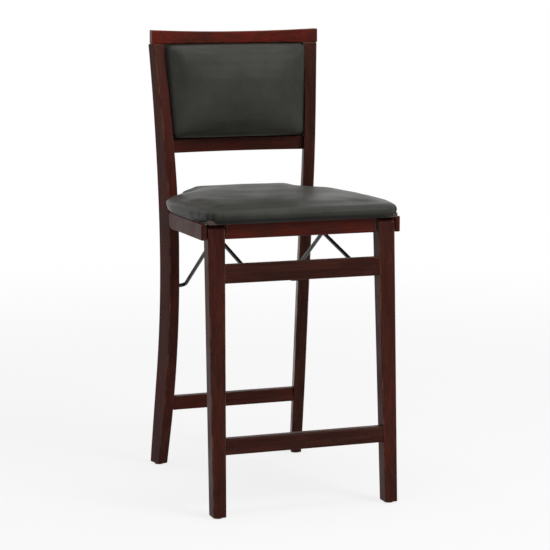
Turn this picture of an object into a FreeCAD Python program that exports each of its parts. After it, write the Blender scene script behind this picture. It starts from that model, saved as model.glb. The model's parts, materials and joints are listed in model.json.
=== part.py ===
"""Folding counter stool: curved rear frame, padded seat, swinging front legs and wire braces.

Millimetres, +Z up, the stool faces -Y, left (-X) and right (+X) are as seen from the front.
The origin is on the floor at the centre of the open stool's outline.
"""
import FreeCAD, Part
import math
import os
import re
import Sketcher

SIZES = {
    # rear posts
    "post_top": 911.0, "post_front": 137.0, "post_bow": 73.5, "post_lean": 34.0,
    "post_waist": 157.6, "foot_flare": 8.0, "top_flare": 25.0,
    "post_width": 24.0, "post_depth": 42.0, "toe_in": 15.0,
    # floor glides
    "glide_height": 2.5, "glide_radius": 9.0,
    # crest rail and lower back rail
    "crest_half": 185.0, "crest_front": 191.0, "crest_bow": 18.0, "crest_thick": 20.0,
    "crest_height": 29.0, "crest_dish": 5.0,
    "rail_half": 155.0, "rail_front": 175.0, "rail_bow": 16.0, "rail_thick": 18.0,
    "rail_bottom": 683.0, "rail_height": 29.0,
    # back panel and back pad
    "panel_thick": 6.0, "panel_bow": 14.0, "panel_tongue": 5.0, "panel_lean": 4.9,
    "back_low_half": 140.0, "back_high_half": 152.0, "back_pad_front": 138.0,
    "back_pad_thick": 60.0, "back_pad_gap": 1.5, "back_pad_corner": 12.0,
    "back_pad_draw": 70.0,
    # rear stretcher
    "rear_stretcher_bottom": 125.5, "rear_stretcher_height": 30.0,
    "rear_stretcher_front": 188.0, "rear_stretcher_thick": 18.0, "rear_stretcher_half": 155.0,
    # seat
    "seat_front": 248.0, "seat_half": 214.0, "pad_bottom": 588.0, "pad_top": 614.0,
    "pad_draw": 100.0, "pad_rear": 163.0, "pad_corner": 36.0, "pad_inset": 9.0,
    "board_thick": 9.0, "notch_front": 108.0, "notch_inner": 131.0, "notch_outer": 168.0,
    "notch_round": 7.3, "ear_front": 188.0, "ear_back": 183.5, "ear_rear": 144.0,
    # aprons and bearers
    "apron_outer": 209.0, "apron_thick": 11.5, "apron_bottom": 548.0, "apron_front": 222.0,
    "apron_rear": 12.0, "apron_corner": 14.0, "nose_round": 5.0,
    "front_apron_half": 158.0, "front_apron_front": 216.0, "front_apron_thick": 18.0,
    "front_apron_round": 2.0,
    "bearer_inner": 132.0, "bearer_width": 12.0, "bearer_rear": 110.0, "bearer_front": 13.0,
    "bearer_deep": 24.0, "bearer_step": 40.0, "bearer_round": 10.0,
    # seat hinge
    "hinge_y": 98.0, "hinge_z": 566.0, "hinge_pin_radius": 3.0, "hinge_head_radius": 6.0,
    "hinge_head": 2.0, "plate_inner": 146.0, "plate_thick": 3.0, "plate_radius": 9.0,
    "plate_bottom": 547.0, "plate_neck": 9.0, "plate_tail": 30.0, "plate_tail_front": 142.0,
    "plate_rear": 163.0,
    # front legs
    "leg_outer": 196.0, "leg_top_width": 35.0, "leg_foot_width": 27.0, "leg_depth": 28.0,
    "leg_foot_depth": 29.0, "leg_pivot_y": 207.0, "leg_pivot_z": 563.0, "leg_foot_front": 250.0,
    "leg_head_shift": 0.8, "leg_head_radius": 14.4,
    "leg_bolt_radius": 4.0, "apron_bite": 9.5, "washer_radius": 9.0, "washer_gap": 0.3,
    # front stretchers
    "stretcher_bottom": 462.0, "stretcher_height": 38.0, "stretcher_front": 223.8,
    "stretcher_thick": 11.6,
    "footrest_bottom": 125.5, "footrest_height": 32.5, "footrest_front": 242.0,
    "footrest_thick": 20.0, "footrest_round": 4.0,
    # wire braces
    "rod_radius": 4.0, "rod_bend": 12.0, "rear_link_x": 118.0, "front_link_x": 114.7,
    "rear_link_y": 168.0, "rear_link_z": 400.0, "knee_y": 34.5, "knee_z": 530.0,
    "front_link_y": 206.0, "front_link_z": 488.0, "post_bore_end": 149.0,
    "leg_bore_depth": 8.0, "leg_bore_radius": 6.8, "leg_entry": 6.0,
    "eye_radius": 9.0, "eye_thick": 3.0, "eye_neck": 14.0, "rod_start": 11.0,
    "rivet_radius": 3.0, "rivet_head_radius": 5.5, "rivet_head": 1.0,
    # fits
    "pin_fit": 0.05, "overrun": 30.0,
}

# height, foot bow, top lean, foot flare, top flare, width and depth, each a share of its size
POST_SHARES = (
    (0.0, 1.0, 0.0, 1.0, 0.0, 0.95, 0.83),
    (0.165, 0.558, 0.0, 0.36, 0.0, 1.0, 1.0),
    (0.33, 0.245, 0.0, 0.0, 0.0, 1.0, 1.0),
    (0.494, 0.068, 0.0, 0.0, 0.03, 1.0, 1.0),
    (0.659, 0.0, 0.0, 0.0, 0.24, 1.0, 0.976),
    (0.823, 0.0, 0.32, 0.0, 0.58, 1.02, 0.78),
    (1.0, 0.0, 1.0, 0.0, 1.0, 1.1, 0.54),
)
# height of each layer of the seat pad, then how far its sides, front and rear are drawn in
PAD_SHARES = (
    (0.0, 0.03, 0.03, 0.03),
    (0.135, 0.0, 0.0, 0.0),
    (0.365, 0.005, 0.005, 0.015),
    (0.54, 0.04, 0.03, 0.62),
    (0.75, 0.13, 0.1, 1.0),
    (0.915, 0.45, 0.4, 1.25),
    (1.0, 1.1, 1.0, 1.65),
)
# depth of each layer of the back pad behind its front, then how far it is drawn in
BACK_PAD_SHARES = (
    (0.0, 1.0),
    (0.03, 0.72),
    (0.08, 0.42),
    (0.14, 0.2),
    (0.2, 0.085),
    (0.27, 0.02),
    (0.35, 0.0),
    (1.1, 0.0),
)
SIDES = (("left", -1), ("right", 1))
TURN_TO_X = FreeCAD.Rotation(FreeCAD.Vector(0, 1, 0), 90)
NO_TURN = FreeCAD.Rotation()

doc = FreeCAD.newDocument("folding_counter_stool")
sheet = doc.addObject("Spreadsheet::Sheet", "Sizes")
published = []


def fill_sheet():
    """Write every driving dimension to its own cell with an alias."""
    for row, (name, value) in enumerate(SIZES.items(), start=1):
        sheet.set("A%d" % row, name)
        sheet.set("B%d" % row, str(value))
        sheet.setAlias("B%d" % row, name)
    doc.recompute()


def cell(name):
    """Return one driving dimension as the sheet holds it."""
    return float(sheet.get(name))


def bound(text):
    """Turn plain alias names in an expression into references to the sheet."""
    return re.sub(r"[a-z][a-z_]+[a-z]", lambda m: "Sizes." + m.group(0)
                  if m.group(0) in SIZES else m.group(0), text)


def bind(item, **expressions):
    """Bind properties of a document object to sheet expressions."""
    for path, text in expressions.items():
        item.setExpression(path.replace("__", "."), bound(text))


def put(item, x, y, z, rotation=NO_TURN):
    """Place a document object by three sheet expressions."""
    item.Placement = FreeCAD.Placement(FreeCAD.Vector(), rotation)
    bind(item, Placement__Base__x=x, Placement__Base__y=y, Placement__Base__z=z)


def box(name, length, width, height, x, y, z):
    """Make a block whose lowest corner is at x, y, z."""
    item = doc.addObject("Part::Box", name)
    bind(item, Length=length, Width=width, Height=height)
    put(item, x, y, z)
    return item


def rod(name, radius, length, x, y, z, rotation=NO_TURN):
    """Make a cylinder that starts at x, y, z and runs along Z, or along X when turned."""
    item = doc.addObject("Part::Cylinder", name)
    bind(item, Radius=radius, Height=length)
    put(item, x, y, z, rotation)
    return item


def ball(name, radius, x, y, z):
    """Make a sphere."""
    item = doc.addObject("Part::Sphere", name)
    bind(item, Radius=radius)
    put(item, x, y, z)
    return item


def join(name, shapes, kind="Part::MultiFuse"):
    """Join several document objects into one."""
    item = doc.addObject(kind, name)
    item.Shapes = shapes
    return item


def group(name, solids):
    """Hold separate solids of one kind in one node."""
    item = doc.addObject("Part::Compound", name)
    item.Links = solids
    return item


def cut(name, base, tools):
    """Cut one or more tools from a base."""
    item = doc.addObject("Part::Cut", name)
    item.Base = base
    item.Tool = tools[0] if len(tools) == 1 else join(name + "_tools", tools)
    return item


def common(name, base, tool):
    """Keep what two shapes share."""
    item = doc.addObject("Part::Common", name)
    item.Base = base
    item.Tool = tool
    return item


def rounded(name, base, radius, keep_edge):
    """Round the edges of a base that keep_edge accepts."""
    doc.recompute()
    item = doc.addObject("Part::Fillet", name)
    item.Base = base
    item.Edges = [(index, radius, radius)
                  for index, edge in enumerate(base.Shape.Edges, start=1) if keep_edge(edge)]
    return item


def publish(item, node):
    """Give a finished sub-part the label that names its file."""
    item.Label = node
    published.append(item)
    return item


def outward(side, inner, outer):
    """Give the expression of a block's lowest x on one side of the stool."""
    return inner if side > 0 else "-(%s)" % outer


def origin_plane(body, role):
    """Find one of a body's own origin planes."""
    return next(plane for plane in body.Origin.OriginFeatures if plane.Role == role)


def polyline_sketch(body, name, role, corners):
    """Draw a closed outline whose corners are tied to the sheet.

    corners holds pairs of expressions. Each corner is dimensioned from the sketch origin.
    """
    sketch = body.newObject("Sketcher::SketchObject", name)
    sketch.AttachmentSupport = [(origin_plane(body, role), "")]
    sketch.MapMode = "FlatFace"
    count = len(corners)
    for index in range(count):
        start = 2 * math.pi * index / count
        stop = 2 * math.pi * (index + 1) / count
        sketch.addGeometry(Part.LineSegment(
            FreeCAD.Vector(math.cos(start), math.sin(start), 0),
            FreeCAD.Vector(math.cos(stop), math.sin(stop), 0)), False)
    for index in range(count):
        sketch.addConstraint(Sketcher.Constraint("Coincident", index, 2, (index + 1) % count, 1))
    for index, (across, along) in enumerate(corners):
        for kind, text in (("DistanceX", across), ("DistanceY", along)):
            number = sketch.addConstraint(Sketcher.Constraint(kind, -1, 1, index, 1, 1.0))
            sketch.setExpression("Constraints[%d]" % number, bound(text))
    return sketch


def corner_section(body, name, side, out, front, height, width, depth, toe):
    """Draw one rectangular section, held by its outer front corner."""
    low, high = ("0", width) if side < 0 else ("-(%s)" % width, "0")
    sketch = polyline_sketch(body, name, "XY_Plane",
                             ((low, "0"), (high, "0"), (high, depth), (low, depth)))
    bind(sketch, AttachmentOffset__Base__x="%d * (%s)" % (side, out),
         AttachmentOffset__Base__y=front, AttachmentOffset__Base__z=height,
         AttachmentOffset__Rotation__Angle="%d * (%s)" % (-side, toe))
    return sketch


def loft_body(name, sections):
    """Loft a body through its section sketches."""
    body, sketches = sections
    loft = body.newObject("PartDesign::AdditiveLoft", name + "_loft")
    loft.Profile = sketches[0]
    loft.Sections = sketches[1:]
    body.Tip = loft
    return body


def rear_post(word, side):
    """Make one curved, toed-in rear post before its holes are bored."""
    body = doc.addObject("PartDesign::Body", "post_blank_" + word)
    sketches = []
    for number, (high, bow, lean, foot, top, wide, deep) in enumerate(POST_SHARES):
        sketches.append(corner_section(
            body, "post_%s_%d" % (word, number), side,
            "post_waist + %g * foot_flare + %g * top_flare" % (foot, top),
            "post_front + %g * post_bow + %g * post_lean" % (bow, lean),
            "glide_height + %g * (post_top - glide_height)" % high,
            "%g * post_width" % wide, "%g * post_depth" % deep, "toe_in"))
    return loft_body("post_" + word, (body, sketches))


def link_bore(word, side):
    """Make the tool for the hole that the rear link turns in."""
    inner = "notch_inner"
    return rod("post_bore_" + word, "rod_radius + pin_fit", "post_bore_end - " + inner,
               outward(side, inner, "post_bore_end"), "rear_link_y", "rear_link_z", TURN_TO_X)


def hinge_plate(word, side):
    """Make the steel plate let into the post: an eye in front, a low neck and a buried tail."""
    body = doc.addObject("PartDesign::Body", "plate_body_" + word)
    top = "plate_bottom + plate_neck"
    sketch = polyline_sketch(body, "plate_outline_" + word, "YZ_Plane", (
        ("hinge_y - plate_radius", "plate_bottom"), ("plate_rear", "plate_bottom"),
        ("plate_rear", "plate_bottom + plate_tail"),
        ("plate_tail_front", "plate_bottom + plate_tail"), ("plate_tail_front", top),
        ("hinge_y + plate_radius", top), ("hinge_y + plate_radius", "hinge_z"),
        ("hinge_y - plate_radius", "hinge_z")))
    bind(sketch, AttachmentOffset__Base__z=outward(side, "plate_inner",
                                                   "(plate_inner + plate_thick)"))
    pad = body.newObject("PartDesign::Pad", "plate_pad_" + word)
    pad.Profile = sketch
    bind(pad, Length="plate_thick")
    body.Tip = pad
    eye = rod("plate_eye_" + word, "plate_radius", "plate_thick",
              outward(side, "plate_inner", "(plate_inner + plate_thick)"),
              "hinge_y", "hinge_z", TURN_TO_X)
    hole = rod("plate_hole_" + word, "hinge_pin_radius + pin_fit", "plate_thick + 2 * overrun",
               outward(side, "plate_inner - overrun", "(plate_inner + plate_thick + overrun)"),
               "hinge_y", "hinge_z", TURN_TO_X)
    plate = cut("plate_" + word, join("plate_solid_" + word, [body, eye]), [hole])
    return publish(plate, "hinge_plate_" + word)


def bowed_ring(name, radius_of, middle_front, thick, bottom, height, rotation=NO_TURN):
    """Make the ring of which a bowed rail is a slice; its middle lies furthest back."""
    outer = rod(name + "_outer", "(%s) + (%s)" % (radius_of, thick), height,
                "0", "(%s) - (%s)" % (middle_front, radius_of), bottom, rotation)
    inner = rod(name + "_inner", radius_of, height,
                "0", "(%s) - (%s)" % (middle_front, radius_of), bottom, rotation)
    return cut(name + "_ring", outer, [inner])


def bow_radius(half, bow):
    """Give the expression of the radius of an arc from its half chord and its rise."""
    return "(({0}) * ({0}) + ({1}) * ({1})) / (2 * ({1}))".format(half, bow)


def back_rails(posts):
    """Make the crest rail on the post tops and the lower back rail between the posts."""
    ring = bowed_ring("crest", bow_radius("crest_half", "crest_bow"), "crest_front",
                      "crest_thick", "post_top", "crest_height")
    window = box("crest_window", "2 * crest_half", "crest_bow + crest_thick + overrun",
                 "crest_height", "-crest_half", "crest_front - crest_bow", "post_top")
    blank = common("crest_blank", ring, window)
    dish_radius = bow_radius("crest_half", "crest_dish")
    scoop = doc.addObject("Part::Cylinder", "crest_scoop")
    bind(scoop, Radius=dish_radius, Height="crest_bow + crest_thick + 2 * overrun")
    put(scoop, "0", "crest_front + crest_thick + overrun",
        "post_top + crest_height - crest_dish + " + dish_radius,
        FreeCAD.Rotation(FreeCAD.Vector(1, 0, 0), 90))
    crest = cut("crest_cut", blank, [scoop])
    publish(crest, "crest_rail")
    ring = bowed_ring("rail", bow_radius("rail_half", "rail_bow"), "rail_front",
                      "rail_thick", "rail_bottom", "rail_height")
    window = box("rail_window", "2 * rail_half", "rail_bow + rail_thick + overrun",
                 "rail_height", "-rail_half", "rail_front - rail_bow", "rail_bottom")
    rail = cut("rail_cut", common("rail_blank", ring, window), posts)
    return crest, publish(rail, "lower_back_rail")


def back_outline(name, low, high):
    """Make the upright wedge that the panel and the pad are cut from."""
    body = doc.addObject("PartDesign::Body", name)
    base = "rail_bottom + rail_height"
    sketch = polyline_sketch(body, name + "_outline", "XZ_Plane", (
        ("-back_low_half", base + low), ("back_low_half", base + low),
        ("back_high_half", "post_top" + high), ("-back_high_half", "post_top" + high)))
    pad = body.newObject("PartDesign::Pad", name + "_pad")
    pad.Profile = sketch
    bind(pad, Length="post_front + post_bow + overrun")
    pad.Reversed = True
    body.Tip = pad
    return body


def panel_front():
    """Give the bow radius, the middle front and the base of the leaning back panel."""
    radius = bow_radius("back_high_half", "panel_bow")
    front = "(rail_front + rail_thick / 2 - panel_thick / 2 - overrun * tan(panel_lean * 1 deg))"
    turn = FreeCAD.Rotation(FreeCAD.Vector(1, 0, 0), -cell("panel_lean"))
    return radius, front, "rail_bottom + rail_height - overrun", turn


def back_panel(rails):
    """Make the thin panel that closes the back, tongued into both rails."""
    wedge = back_outline("panel_wedge", " - panel_tongue", " + panel_tongue")
    radius, front, base, turn = panel_front()
    ring = bowed_ring("panel", radius, front, "panel_thick", base,
                      "post_top - rail_bottom + 6 * overrun", turn)
    blank = common("panel_blank", wedge, ring)
    return publish(cut("panel_cut", blank, rails), "back_panel")


def back_pad():
    """Make the crowned back pad that lies on the front of the panel."""
    body = doc.addObject("PartDesign::Body", "back_pad_body")
    tall = "((post_top - rail_bottom - rail_height) / 2 - back_pad_gap)"
    layers = []
    for number, (deep, drawn) in enumerate(BACK_PAD_SHARES):
        corners = []
        for wide, top in (("back_high_half", 1), ("back_low_half", -1)):
            arc = []
            for step in range(4):
                turn = math.radians(30 * step)
                arc.append(((wide, "1 - %.4f" % math.cos(turn) if top < 0 else "1 - %.4f" % math.cos(turn)),
                            "%d * (%s - back_pad_corner * (1 - %.4f))" % (top, tall, math.sin(turn))))
            corners += reversed(arc) if top > 0 else arc
        right = [("(%s - back_pad_corner * (%s)) * (1 - %g * back_pad_draw / back_high_half)"
                  % (wide, share, drawn),
                  "(%s) * (1 - %g * back_pad_draw / %s)" % (along, drawn, tall))
                 for (wide, share), along in corners]
        sketch = polyline_sketch(body, "back_pad_layer_%d" % number, "XZ_Plane",
                                 mirrored(list(reversed(right))))
        bind(sketch, AttachmentOffset__Base__y="(rail_bottom + rail_height + post_top) / 2",
             AttachmentOffset__Base__z="-back_pad_front - %g * back_pad_thick" % deep)
        sketch.AttachmentOffset = FreeCAD.Placement(
            sketch.AttachmentOffset.Base,
            FreeCAD.Rotation(FreeCAD.Vector(1, 0, 0), -cell("panel_lean")))
        layers.append(sketch)
    loft = body.newObject("PartDesign::AdditiveLoft", "back_pad_loft")
    loft.Profile = layers[0]
    loft.Sections = layers[1:]
    loft.Ruled = True
    body.Tip = loft
    radius, front, base, turn = panel_front()
    rear = rod("back_pad_rear", radius, "post_top - rail_bottom + 6 * overrun", "0",
               front + " - " + radius, base, turn)
    return publish(common("back_pad_seat", body, rear), "back_pad")


def mirrored(right):
    """Complete a right-hand half outline with its mirror image."""
    return list(right) + [("-(%s)" % across, along) for across, along in reversed(right)]


def seat_board():
    """Make the plywood board that carries the pad."""
    body = doc.addObject("PartDesign::Body", "board_body")
    sketch = polyline_sketch(body, "board_outline", "XY_Plane", mirrored((
        ("seat_half - 1.5 * pad_inset", "-seat_front + pad_inset"),
        ("seat_half - pad_inset / 2", "-seat_front * 0.6"),
        ("seat_half - pad_inset / 2", "-seat_front * 0.12"),
        ("ear_front - pad_inset", "notch_front - pin_fit * 80"),
        ("notch_inner - 2", "notch_front - pin_fit * 80"),
        ("notch_inner - 2", "pad_rear - pad_inset"))))
    bind(sketch, AttachmentOffset__Base__z="pad_bottom - board_thick")
    pad = body.newObject("PartDesign::Pad", "board_pad")
    pad.Profile = sketch
    bind(pad, Length="board_thick")
    body.Tip = pad
    return publish(body, "seat_board")


def notch(word, side):
    """Make the tool for the pad's notch round one post, with rounded inner corners."""
    blank = box("notch_" + word, "notch_outer - notch_inner", "3 * overrun", "2 * overrun",
                outward(side, "notch_inner", "notch_outer"), "notch_front", "pad_bottom - overrun")
    front = cell("notch_front") + 1
    return rounded("notch_soft_" + word, blank, cell("notch_round"),
                   lambda edge: upright(edge) and edge.BoundBox.YMax < front)


def pad_half_outline():
    """Give the right-hand half of the pad's outline, with a rounded front corner."""
    corner = []
    for step in range(4):
        turn = math.radians(30 * step)
        corner.append(("seat_half - pad_inset - pad_corner + %.4f * pad_corner" % math.sin(turn),
                       "-seat_front + pad_corner - %.4f * pad_corner" % math.cos(turn)))
    return corner + [("seat_half", "-seat_front * 0.6"), ("seat_half", "-seat_front * 0.12"),
                     ("ear_front", "notch_front"), ("ear_back", "ear_rear"),
                     ("notch_inner", "pad_rear")]


def seat_pad():
    """Make the crowned pad with drawn-in sides and a notch round each post."""
    body = doc.addObject("PartDesign::Body", "pad_body")
    layers = []
    for number, (high, side, front, rear) in enumerate(PAD_SHARES):
        across = " * (seat_half - %g * pad_draw) / seat_half" % side
        along = (" + seat_front) * (1 - %g * pad_draw / (seat_front + pad_rear))"
                 " - seat_front + %g * pad_draw") % (front + rear, front)
        sketch = polyline_sketch(body, "pad_layer_%d" % number, "XY_Plane", mirrored(
            [("(%s)" % x + across, "(%s" % y + along) for x, y in pad_half_outline()]))
        bind(sketch, AttachmentOffset__Base__z="pad_bottom + %g * (pad_top - pad_bottom)" % high)
        layers.append(sketch)
    loft = body.newObject("PartDesign::AdditiveLoft", "pad_loft")
    loft.Profile = layers[0]
    loft.Sections = layers[1:]
    loft.Ruled = True
    body.Tip = loft
    tools = [notch(word, side) for word, side in SIDES]
    return publish(cut("pad_notched", body, tools), "seat_pad")


def upright(edge):
    """Tell whether an edge stands upright."""
    box_of = edge.BoundBox
    return box_of.ZLength > 1 and box_of.XLength < 0.01 and box_of.YLength < 0.01


def side_apron(word, side):
    """Make one side apron with a rounded nose and a rounded lower rear corner."""
    blank = box("apron_blank_" + word, "apron_thick", "apron_front - apron_rear",
                "pad_bottom - board_thick - apron_bottom",
                outward(side, "apron_outer - apron_thick", "apron_outer"),
                "-apron_front", "apron_bottom")
    nose = rounded("apron_nose_" + word, blank, cell("nose_round"),
                   lambda edge: edge.BoundBox.ZLength > 1 and edge.BoundBox.YMax < -cell("apron_rear") - 1)
    low, rear = cell("apron_bottom"), -cell("apron_rear")
    corner = rounded("apron_corner_" + word, nose, cell("apron_corner"),
                     lambda edge: edge.BoundBox.ZMax < low + 1 and edge.BoundBox.YMin > rear - 1)
    bolt = rod("apron_hole_" + word, "leg_bolt_radius + pin_fit", "apron_bite",
               outward(side, "apron_outer - apron_thick",
                       "apron_outer - apron_thick + apron_bite"),
               "-leg_pivot_y", "leg_pivot_z", TURN_TO_X)
    return publish(cut("apron_" + word, corner, [bolt]), "side_apron_" + word)


def front_apron():
    """Make the front apron between the legs."""
    blank = box("front_apron_blank", "2 * front_apron_half", "front_apron_thick",
                "pad_bottom - board_thick - apron_bottom", "-front_apron_half",
                "-front_apron_front", "apron_bottom")
    low = cell("apron_bottom")
    return publish(rounded("front_apron_soft", blank, cell("front_apron_round"),
                           lambda edge: edge.BoundBox.ZMax < low + 1
                           and edge.BoundBox.XLength > cell("front_apron_half")), "front_apron")


def seat_bearer(word, side):
    """Make one bearer under the board, deeper behind, where it turns on the hinge pin."""
    body = doc.addObject("PartDesign::Body", "bearer_body_" + word)
    top = "pad_bottom - board_thick"
    start = "-front_apron_front + front_apron_thick"
    sketch = polyline_sketch(body, "bearer_outline_" + word, "YZ_Plane", (
        (start, top + " - bearer_front"), ("0", top + " - bearer_front"),
        ("bearer_step", top + " - bearer_deep"), ("bearer_rear", top + " - bearer_deep"),
        ("bearer_rear", top), (start, top)))
    bind(sketch, AttachmentOffset__Base__z=outward(side, "bearer_inner",
                                                   "(bearer_inner + bearer_width)"))
    pad = body.newObject("PartDesign::Pad", "bearer_pad_" + word)
    pad.Profile = sketch
    bind(pad, Length="bearer_width")
    body.Tip = pad
    hole = rod("bearer_hole_" + word, "hinge_pin_radius + pin_fit",
               "bearer_width + 2 * overrun",
               outward(side, "bearer_inner - overrun", "(bearer_inner + bearer_width + overrun)"),
               "hinge_y", "hinge_z", TURN_TO_X)
    low = cell("pad_bottom") - cell("board_thick") - cell("bearer_deep")
    rear = cell("bearer_rear")
    soft = rounded("bearer_soft_" + word, body, cell("bearer_round"),
                   lambda edge: edge.BoundBox.ZMax < low + 1 and edge.BoundBox.YMin > rear - 1)
    return publish(cut("bearer_" + word, soft, [hole]), "seat_bearer_" + word)


def hinge_pins():
    """Make the two headed pins that the seat turns on."""
    pins = []
    for word, side in SIDES:
        head_start = "(plate_inner + plate_thick)"
        shank = rod("pin_shank_" + word, "hinge_pin_radius", head_start + " - bearer_inner",
                    outward(side, "bearer_inner", head_start), "hinge_y", "hinge_z", TURN_TO_X)
        head = rod("pin_head_" + word, "hinge_head_radius", "hinge_head",
                   outward(side, head_start, head_start + " + hinge_head"),
                   "hinge_y", "hinge_z", TURN_TO_X)
        pins.append(join("pin_" + word, [shank, head]))
    return publish(group("pins", pins), "seat_hinge_pins")


def front_leg(word, side):
    """Make one tapered, raked front leg with a round top."""
    body = doc.addObject("PartDesign::Body", "leg_blank_" + word)
    sketches = [
        corner_section(body, "leg_foot_" + word, side, "leg_outer", "-leg_foot_front",
                       "glide_height", "leg_foot_width", "leg_foot_depth", "0"),
        corner_section(body, "leg_head_" + word, side, "leg_outer",
                       "-leg_pivot_y - leg_depth / 2 + leg_head_shift",
                       "pad_bottom - board_thick", "leg_top_width", "leg_depth", "0")]
    loft_body("leg_" + word, (body, sketches))
    below = box("leg_below_" + word, "leg_top_width + 2 * overrun", "3 * overrun", "leg_pivot_z",
                outward(side, "leg_outer - leg_top_width - overrun", "(leg_outer + overrun)"),
                "-leg_foot_front - overrun / 2", "0")
    head = rod("leg_head_round_" + word, "leg_head_radius", "leg_top_width + 2 * overrun",
               outward(side, "leg_outer - leg_top_width - overrun", "(leg_outer + overrun)"),
               "-leg_pivot_y", "leg_pivot_z", TURN_TO_X)
    blank = common("leg_soft_" + word, body, join("leg_gauge_" + word, [below, head]))
    bolt = rod("leg_hole_" + word, "leg_bolt_radius + pin_fit", "leg_top_width + 2 * overrun",
               outward(side, "leg_outer - leg_top_width - overrun", "leg_outer + overrun"),
               "-leg_pivot_y", "leg_pivot_z", TURN_TO_X)
    inner = "leg_outer - leg_top_width"
    socket = rod("leg_socket_" + word, "leg_bore_radius", "leg_bore_depth + overrun",
                 outward(side, inner + " - overrun", inner + " + leg_bore_depth"),
                 "-front_link_y", "front_link_z", TURN_TO_X)
    return publish(cut("leg_cut_" + word, blank, [bolt, socket]), "front_leg_" + word)


def leg_bolts():
    """Make the two plain bolts that the front legs swing on."""
    bolts = []
    for word, side in SIDES:
        inner = "leg_outer - leg_top_width"
        outer = "apron_outer - apron_thick + apron_bite"
        bolts.append(rod("leg_bolt_" + word, "leg_bolt_radius", outer + " - (%s)" % inner,
                         outward(side, inner, outer), "-leg_pivot_y", "leg_pivot_z", TURN_TO_X))
    return publish(group("bolts", bolts), "leg_pivot_bolts")


def leg_washers():
    """Make the washers between the front legs and the side aprons."""
    rings = []
    for word, side in SIDES:
        start = "leg_outer + washer_gap"
        stop = "(apron_outer - apron_thick)"
        disc = rod("washer_disc_" + word, "washer_radius", stop + " - (%s)" % start,
                   outward(side, start, stop), "-leg_pivot_y", "leg_pivot_z", TURN_TO_X)
        hole = rod("washer_hole_" + word, "leg_bolt_radius + pin_fit",
                   stop + " - (%s) + 2 * overrun" % start,
                   outward(side, start + " - overrun", stop + " + overrun"),
                   "-leg_pivot_y", "leg_pivot_z", TURN_TO_X)
        rings.append(cut("washer_" + word, disc, [hole]))
    return publish(group("washers", rings), "leg_washers")


def front_stretchers(legs):
    """Make the upper stretcher and the footrest between the front legs."""
    half = "leg_outer - leg_foot_width / 2"
    upper = box("upper_blank", "2 * (%s)" % half, "stretcher_thick", "stretcher_height",
                "-(%s)" % half, "-stretcher_front", "stretcher_bottom")
    low = box("footrest_blank", "2 * (%s)" % half, "footrest_thick", "footrest_height",
              "-(%s)" % half, "-footrest_front", "footrest_bottom")
    top = cell("footrest_bottom") + cell("footrest_height")
    soft = rounded("footrest_soft", low, cell("footrest_round"),
                   lambda edge: edge.BoundBox.ZMin > top - 1 and edge.BoundBox.XLength > 1)
    publish(cut("upper_cut", upper, legs), "upper_stretcher")
    publish(cut("footrest_cut", soft, legs), "footrest")


def rear_stretcher(posts):
    """Make the low stretcher between the rear posts."""
    blank = box("rear_stretcher_blank", "2 * rear_stretcher_half", "rear_stretcher_thick",
                "rear_stretcher_height", "-rear_stretcher_half", "rear_stretcher_front",
                "rear_stretcher_bottom")
    return publish(cut("rear_stretcher_cut", blank, posts), "rear_stretcher")


def glides():
    """Make the floor glides, two under the posts and two under the legs."""
    toe = "toe_in * 1 deg"
    middle = ("post_waist + foot_flare - 0.475 * post_width * cos({0}) + 0.415 * post_depth"
              " * sin({0})").format(toe)
    back = ("post_front + post_bow + 0.475 * post_width * sin({0}) + 0.415 * post_depth"
            " * cos({0})").format(toe)
    rear = [rod("rear_glide_" + word, "glide_radius", "glide_height", "%d * (%s)" % (side, middle),
                back, "0") for word, side in SIDES]
    front = [rod("front_glide_" + word, "glide_radius", "glide_height",
                 "%d * (leg_outer - leg_foot_width / 2)" % side,
                 "-leg_foot_front + leg_foot_depth / 2", "0") for word, side in SIDES]
    publish(group("rear_feet", rear), "rear_glides")
    publish(group("front_feet", front), "front_glides")


def link_frame(side, plane_x, pivot, knee):
    """Place a link whose own X axis runs from its pivot to the knee and whose Y points outboard."""
    run = (knee - pivot).normalize()
    across = FreeCAD.Vector(1, 0, 0)
    rotation = FreeCAD.Rotation(run, across, run.cross(across), "XYZ")
    return FreeCAD.Placement(FreeCAD.Vector(side * plane_x, pivot.y, pivot.z), rotation)


def brace_link(name, side, plane_x, end_x, pivot, knee, eye_start):
    """Make one bent wire link with a flat eye at the knee.

    The wire comes in from the wood at the pivot, bends and runs straight to the knee.
    eye_start is the eye's inner face, measured from the wire's own plane along outboard X.
    """
    length = (knee - pivot).Length
    radius, bend = cell("rod_radius"), cell("rod_bend")
    reach = end_x - plane_x
    outer = FreeCAD.Vector(0, side * reach, 0)
    first = FreeCAD.Vector(0, side * bend, 0)
    last = FreeCAD.Vector(bend, 0, 0)
    half = bend * (1 - math.sqrt(0.5))
    path = Part.Wire([
        Part.LineSegment(outer, first).toShape(),
        Part.Arc(first, FreeCAD.Vector(half, side * half, 0), last).toShape(),
        Part.LineSegment(last, FreeCAD.Vector(length - cell("rod_start"), 0, 0)).toShape()])
    profile = Part.Wire([Part.Circle(outer, FreeCAD.Vector(0, 1, 0), radius).toShape()])
    wire = path.makePipeShell([profile], True, False)
    thick, wide = cell("eye_thick"), cell("eye_radius")
    low = eye_start if side > 0 else -eye_start - thick
    eye = Part.makeCylinder(wide, thick, FreeCAD.Vector(length, low, 0), FreeCAD.Vector(0, 1, 0))
    neck = Part.makeBox(cell("eye_neck"), thick, 2 * radius,
                        FreeCAD.Vector(length - cell("eye_neck"), low, -radius))
    hole = Part.makeCylinder(cell("rivet_radius") + cell("pin_fit"), 3 * thick,
                             FreeCAD.Vector(length, low - thick, 0), FreeCAD.Vector(0, 1, 0))
    item = doc.addObject("Part::Feature", name)
    item.Shape = wire.fuse([eye, neck]).cut(hole).removeSplitter()
    item.Placement = link_frame(side, plane_x, pivot, knee)
    return publish(item, name)


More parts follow.
